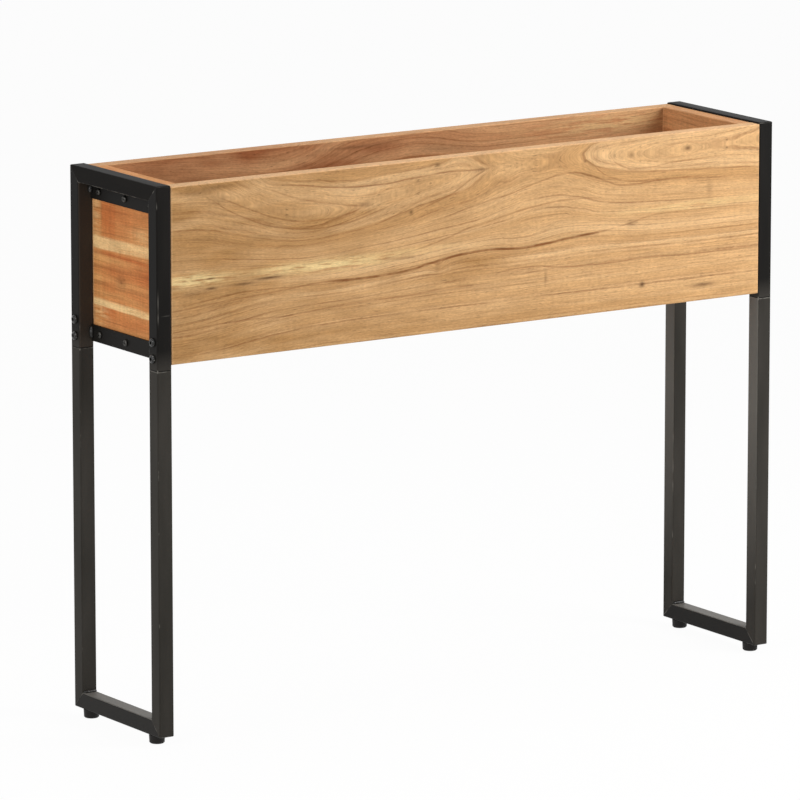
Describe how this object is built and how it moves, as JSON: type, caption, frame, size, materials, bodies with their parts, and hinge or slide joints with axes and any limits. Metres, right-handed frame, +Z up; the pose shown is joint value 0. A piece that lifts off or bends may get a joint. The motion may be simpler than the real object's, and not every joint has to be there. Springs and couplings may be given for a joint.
{
  "type": "wooden planter",
  "caption": "Long raised floor planter: an open-topped box of solid wooden boards held between two black steel tube end frames with bolted legs on screw-in levelling feet.",
  "frame": {"origin": "on the floor under the middle of the planter", "axes": "+X along the box, from its left to its right end; -Y out of its front; +Z up"},
  "size_m": [0.9068, 0.2, 0.68],
  "materials": {
    "board_wood": "oiled acacia, sanded",
    "dowel_wood": "plain beech dowel",
    "frame_paint": "black powder coat, satin",
    "fastener_steel": "black zinc, half gloss",
    "inner_steel": "zinc plated",
    "foot_plastic": "moulded black polyethylene"
  },
  "bodies": {
    "planter": {"front_board": "board_wood", "rear_board": "board_wood", "left_end_board": "board_wood", "right_end_board": "board_wood", "bottom_board": "board_wood", "left_top_rail": "frame_paint", "left_top_flange": "frame_paint", "left_top_flange_screws": "fastener_steel", "left_bottom_rail": "frame_paint", "left_bottom_flange": "frame_paint", "left_bottom_flange_screws": "fastener_steel", "front_left_post": "frame_paint", "front_left_leg": "frame_paint", "front_left_spigot": "inner_steel", "front_left_leg_bolts": "fastener_steel", "front_left_dowels": "dowel_wood", "front_left_foot_nut": "inner_steel", "rear_left_post": "frame_paint", "rear_left_leg": "frame_paint", "rear_left_spigot": "inner_steel", "rear_left_leg_bolts": "fastener_steel", "rear_left_dowels": "dowel_wood", "rear_left_foot_nut": "inner_steel", "right_top_rail": "frame_paint", "right_top_flange": "frame_paint", "right_top_flange_screws": "fastener_steel", "right_bottom_rail": "frame_paint", "right_bottom_flange": "frame_paint", "right_bottom_flange_screws": "fastener_steel", "front_right_post": "frame_paint", "front_right_leg": "frame_paint", "front_right_spigot": "inner_steel", "front_right_leg_bolts": "fastener_steel", "front_right_dowels": "dowel_wood", "front_right_foot_nut": "inner_steel", "rear_right_post": "frame_paint", "rear_right_leg": "frame_paint", "rear_right_spigot": "inner_steel", "rear_right_leg_bolts": "fastener_steel", "rear_right_dowels": "dowel_wood", "rear_right_foot_nut": "inner_steel"},
    "front_left_foot": {"front_left_foot_base": "foot_plastic"},
    "front_left_stud": {"front_left_foot_stud": "inner_steel"},
    "rear_left_foot": {"rear_left_foot_base": "foot_plastic"},
    "rear_left_stud": {"rear_left_foot_stud": "inner_steel"},
    "front_right_foot": {"front_right_foot_base": "foot_plastic"},
    "front_right_stud": {"front_right_foot_stud": "inner_steel"},
    "rear_right_foot": {"rear_right_foot_base": "foot_plastic"},
    "rear_right_stud": {"rear_right_foot_stud": "inner_steel"}
  },
  "joints": [
    {"name": "front_left_foot_height", "type": "slide", "parent": "planter", "child": "front_left_foot", "axis": [0, 0, -1], "range_m": [0, 0.008]},
    {"name": "front_left_foot_screw", "type": "hinge", "parent": "front_left_foot", "child": "front_left_stud", "pos_m": [-0.44, -0.0765, 0], "axis": [0, 0, -1], "range_deg": [0, 2880]},
    {"name": "rear_left_foot_height", "type": "slide", "parent": "planter", "child": "rear_left_foot", "axis": [0, 0, -1], "range_m": [0, 0.008]},
    {"name": "rear_left_foot_screw", "type": "hinge", "parent": "rear_left_foot", "child": "rear_left_stud", "pos_m": [-0.44, 0.0765, 0], "axis": [0, 0, -1], "range_deg": [0, 2880]},
    {"name": "front_right_foot_height", "type": "slide", "parent": "planter", "child": "front_right_foot", "axis": [0, 0, -1], "range_m": [0, 0.008]},
    {"name": "front_right_foot_screw", "type": "hinge", "parent": "front_right_foot", "child": "front_right_stud", "pos_m": [0.44, -0.0765, 0], "axis": [0, 0, -1], "range_deg": [0, 2880]},
    {"name": "rear_right_foot_height", "type": "slide", "parent": "planter", "child": "rear_right_foot", "axis": [0, 0, -1], "range_m": [0, 0.008]},
    {"name": "rear_right_foot_screw", "type": "hinge", "parent": "rear_right_foot", "child": "rear_right_stud", "pos_m": [0.44, 0.0765, 0], "axis": [0, 0, -1], "range_deg": [0, 2880]}
  ],
  "couplings": [
    {"joint": "front_left_foot_screw", "follows": "front_left_foot_height", "rad_per_m": 6283.2},
    {"joint": "rear_left_foot_screw", "follows": "rear_left_foot_height", "rad_per_m": 6283.2},
    {"joint": "front_right_foot_screw", "follows": "front_right_foot_height", "rad_per_m": 6283.2},
    {"joint": "rear_right_foot_screw", "follows": "rear_right_foot_height", "rad_per_m": 6283.2}
  ]
}
